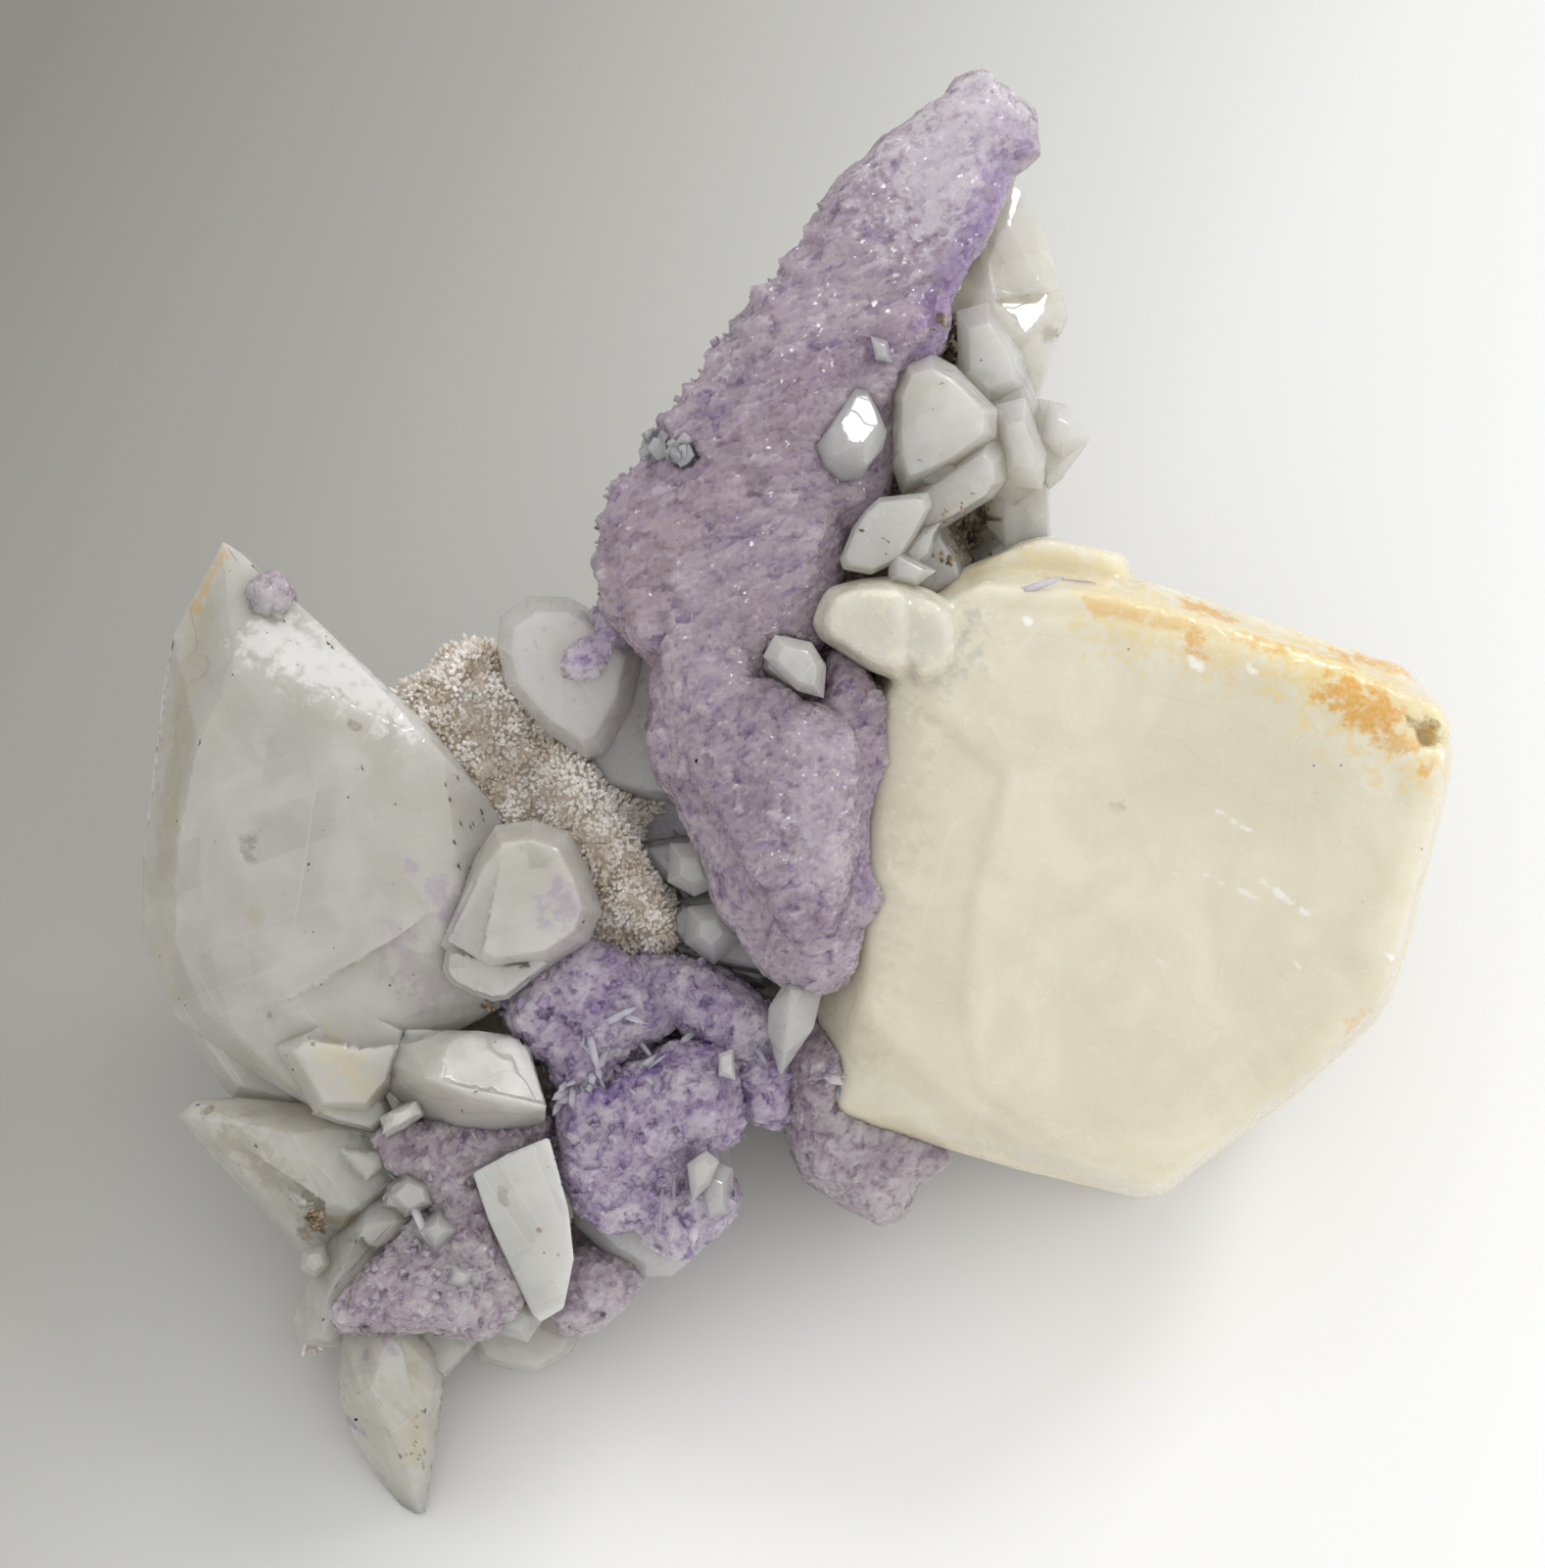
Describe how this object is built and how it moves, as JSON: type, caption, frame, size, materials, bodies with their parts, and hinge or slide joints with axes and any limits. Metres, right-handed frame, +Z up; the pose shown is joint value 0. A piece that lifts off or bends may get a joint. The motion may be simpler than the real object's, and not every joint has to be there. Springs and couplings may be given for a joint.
{
  "type": "etched fluorite mineral specimen",
  "caption": "Natural cluster of milky and cream calcite crystals with an etched purple fluorite blade on drusy rock, lying on a table.",
  "frame": {"origin": "centre of the bounding box in X and Y, on the table's surface", "axes": "+X to the right and +Y away from the viewer as seen in the picture's view, +Z up from the table"},
  "size_m": [0.1072, 0.1059, 0.0612],
  "materials": {
    "calcite_milky": "translucent milky crystal with smooth growth faces",
    "calcite_cream": "translucent cream crystal with orange iron stains along its edges",
    "calcite_clear": "nearly clear pale grey crystal",
    "calcite_white": "bright white glassy crystal",
    "fluorite_lilac": "translucent lilac crystal, etched rough and glinting",
    "fluorite_violet": "deep violet crystal crust, etched rough",
    "fluorite_mauve": "greyish mauve crystal crust, granular",
    "quartz_clear": "small clear glossy crystals",
    "rock": "grey-brown rock under a skin of fine sparkling crystals"
  },
  "bodies": {
    "root": {"calcite_right": "calcite_cream", "calcite_left": "calcite_milky", "calcite_lower_left": "calcite_milky", "calcite_white_blade": "calcite_white", "calcite_front_blade": "calcite_milky", "calcite_gem": "calcite_white", "calcite_upper_cluster": "calcite_clear", "calcite_back_upper": "calcite_milky", "calcite_notch": "calcite_clear", "quartz_side_cluster": "quartz_clear", "calcite_under_crust": "calcite_clear", "calcite_hollow": "calcite_clear", "fluorite_blade": "fluorite_lilac", "fluorite_crust": "fluorite_violet", "fluorite_centre": "fluorite_violet", "fluorite_lower_left": "fluorite_mauve", "fluorite_lobe": "fluorite_mauve", "fluorite_base_lump": "fluorite_mauve", "fluorite_bump": "fluorite_mauve", "fluorite_tuft": "fluorite_violet", "matrix_rock": "rock"}
  },
  "joints": []
}
